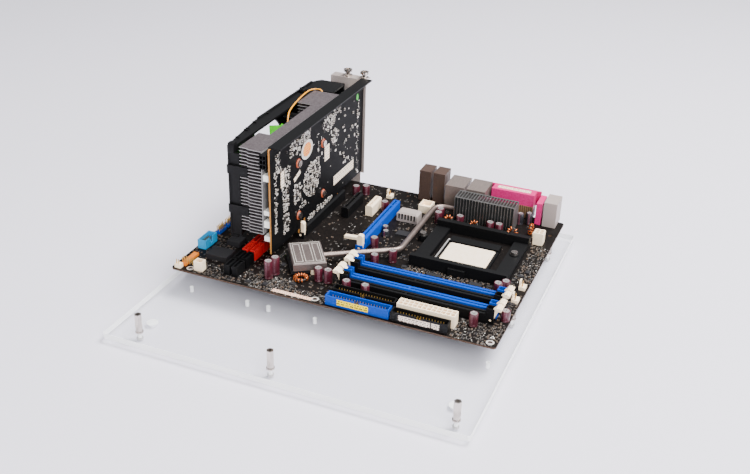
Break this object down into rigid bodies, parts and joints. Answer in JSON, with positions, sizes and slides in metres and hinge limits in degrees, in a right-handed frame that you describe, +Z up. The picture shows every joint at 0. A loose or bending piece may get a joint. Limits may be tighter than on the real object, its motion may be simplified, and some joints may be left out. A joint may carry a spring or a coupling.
{
  "type": "open air test bench",
  "caption": "Clear plate on bumper feet with hex standoffs that carries a computer board and an upright graphics card in the open.",
  "frame": {"origin": "middle of the plate's footprint, at the lowest face of the feet", "axes": "+X to the right along the plate's front edge, +Y back towards the rear ports, +Z up"},
  "size_m": [0.325, 0.35, 0.1489],
  "materials": {
    "clear_acrylic": "clear polished sheet",
    "clear_rubber": "clear soft bumper",
    "nickel": "nickel plated",
    "steel": "plain steel",
    "black_laminate": "solder mask over glass laminate",
    "black_plastic": "moulded",
    "blue_plastic": "moulded",
    "cream_plastic": "moulded",
    "red_plastic": "moulded",
    "cyan_plastic": "moulded",
    "orange_plastic": "moulded",
    "brown_plastic": "moulded",
    "grey_plastic": "moulded",
    "magenta_plastic": "moulded",
    "maroon_sleeve": "printed sleeve over aluminium",
    "dark_sleeve": "printed sleeve over aluminium",
    "copper_wire": "enamelled copper",
    "copper_pipe": "bare heat pipe",
    "aluminium": "extruded fins",
    "green_plastic": "clear tinted moulding",
    "yellow_wire": "insulated wire"
  },
  "bodies": {
    "bench": {"bench_plate": "clear_acrylic", "bumper_feet": "clear_rubber", "board_standoffs": "nickel", "standoff_screws": "steel", "main_board": "black_laminate", "chips": "black_plastic", "maroon_capacitors": "maroon_sleeve", "dark_capacitors": "dark_sleeve", "copper_coils": "copper_wire", "memory_slots_black": "black_plastic", "memory_slots_blue": "blue_plastic", "expansion_slot_blue": "blue_plastic", "expansion_slots_black": "black_plastic", "expansion_slots_cream": "cream_plastic", "processor_socket": "black_plastic", "processor_lid": "nickel", "cooler_frame": "black_plastic", "regulator_heatsink": "aluminium", "chipset_heatsink": "aluminium", "heat_pipe": "copper_pipe", "blue_connectors": "blue_plastic", "black_connectors": "black_plastic", "power_connectors": "cream_plastic", "sata_ports_black": "black_plastic", "sata_ports_red": "red_plastic", "cyan_header": "cyan_plastic", "panel_header": "orange_plastic", "cream_headers": "cream_plastic", "audio_towers": "brown_plastic", "lan_ports": "steel", "magenta_ports": "magenta_plastic", "grey_ports": "grey_plastic", "card_board": "black_laminate", "card_bracket": "steel", "thumb_screws": "nickel", "card_stiffener": "black_plastic", "video_ports": "cream_plastic", "card_parts": "cream_plastic", "card_power_socket": "black_plastic", "cooler_base": "aluminium", "cooler_screws": "nickel", "cooler_fins": "aluminium", "cooler_shroud": "black_plastic", "shroud_clips": "black_plastic", "fan_motor": "black_plastic", "fan_wire": "yellow_wire"},
    "memory_latch_left_1": {"memory_latch_left_1": "cream_plastic"},
    "memory_latch_right_1": {"memory_latch_right_1": "cream_plastic"},
    "memory_latch_left_2": {"memory_latch_left_2": "cream_plastic"},
    "memory_latch_right_2": {"memory_latch_right_2": "cream_plastic"},
    "memory_latch_left_3": {"memory_latch_left_3": "cream_plastic"},
    "memory_latch_right_3": {"memory_latch_right_3": "cream_plastic"},
    "memory_latch_left_4": {"memory_latch_left_4": "cream_plastic"},
    "memory_latch_right_4": {"memory_latch_right_4": "cream_plastic"},
    "slot_clip_blue_slot": {"slot_clip_blue_slot": "cream_plastic"},
    "slot_clip_card_slot": {"slot_clip_card_slot": "cream_plastic"},
    "socket_lever": {"socket_lever": "steel"},
    "fan_rotor": {"fan_rotor": "green_plastic"}
  },
  "joints": [
    {"name": "memory_latch_left_1_hinge", "type": "hinge", "parent": "bench", "child": "memory_latch_left_1", "pos_m": [0.0035, -0.04845, 0.0316], "axis": [0, 1, 0], "range_deg": [0, 22]},
    {"name": "memory_latch_right_1_hinge", "type": "hinge", "parent": "bench", "child": "memory_latch_right_1", "pos_m": [0.1385, -0.04845, 0.0316], "axis": [0, -1, 0], "range_deg": [0, 22]},
    {"name": "memory_latch_left_2_hinge", "type": "hinge", "parent": "bench", "child": "memory_latch_left_2", "pos_m": [0.0035, -0.03895, 0.0316], "axis": [0, 1, 0], "range_deg": [0, 22]},
    {"name": "memory_latch_right_2_hinge", "type": "hinge", "parent": "bench", "child": "memory_latch_right_2", "pos_m": [0.1385, -0.03895, 0.0316], "axis": [0, -1, 0], "range_deg": [0, 22]},
    {"name": "memory_latch_left_3_hinge", "type": "hinge", "parent": "bench", "child": "memory_latch_left_3", "pos_m": [0.0035, -0.02465, 0.0316], "axis": [0, 1, 0], "range_deg": [0, 22]},
    {"name": "memory_latch_right_3_hinge", "type": "hinge", "parent": "bench", "child": "memory_latch_right_3", "pos_m": [0.1385, -0.02465, 0.0316], "axis": [0, -1, 0], "range_deg": [0, 22]},
    {"name": "memory_latch_left_4_hinge", "type": "hinge", "parent": "bench", "child": "memory_latch_left_4", "pos_m": [0.0035, -0.01515, 0.0316], "axis": [0, 1, 0], "range_deg": [0, 22]},
    {"name": "memory_latch_right_4_hinge", "type": "hinge", "parent": "bench", "child": "memory_latch_right_4", "pos_m": [0.1385, -0.01515, 0.0316], "axis": [0, -1, 0], "range_deg": [0, 22]},
    {"name": "slot_clip_blue_slot_hinge", "type": "hinge", "parent": "bench", "child": "slot_clip_blue_slot", "pos_m": [-0.01015, 0.0203, 0.0316], "axis": [0, -1, 0], "range_deg": [0, 20]},
    {"name": "slot_clip_card_slot_hinge", "type": "hinge", "parent": "bench", "child": "slot_clip_card_slot", "pos_m": [-0.07111, 0.0203, 0.0316], "axis": [0, -1, 0], "range_deg": [0, 20]},
    {"name": "socket_lever_hinge", "type": "hinge", "parent": "bench", "child": "socket_lever", "pos_m": [0.0607, 0.0715, 0.0312], "axis": [-1, 0, 0], "range_deg": [0, 100]},
    {"name": "fan_spin", "type": "hinge", "parent": "bench", "child": "fan_rotor", "pos_m": [-0.1135, 0.0382, 0.0922], "axis": [1, 0, 0], "continuous": true}
  ]
}
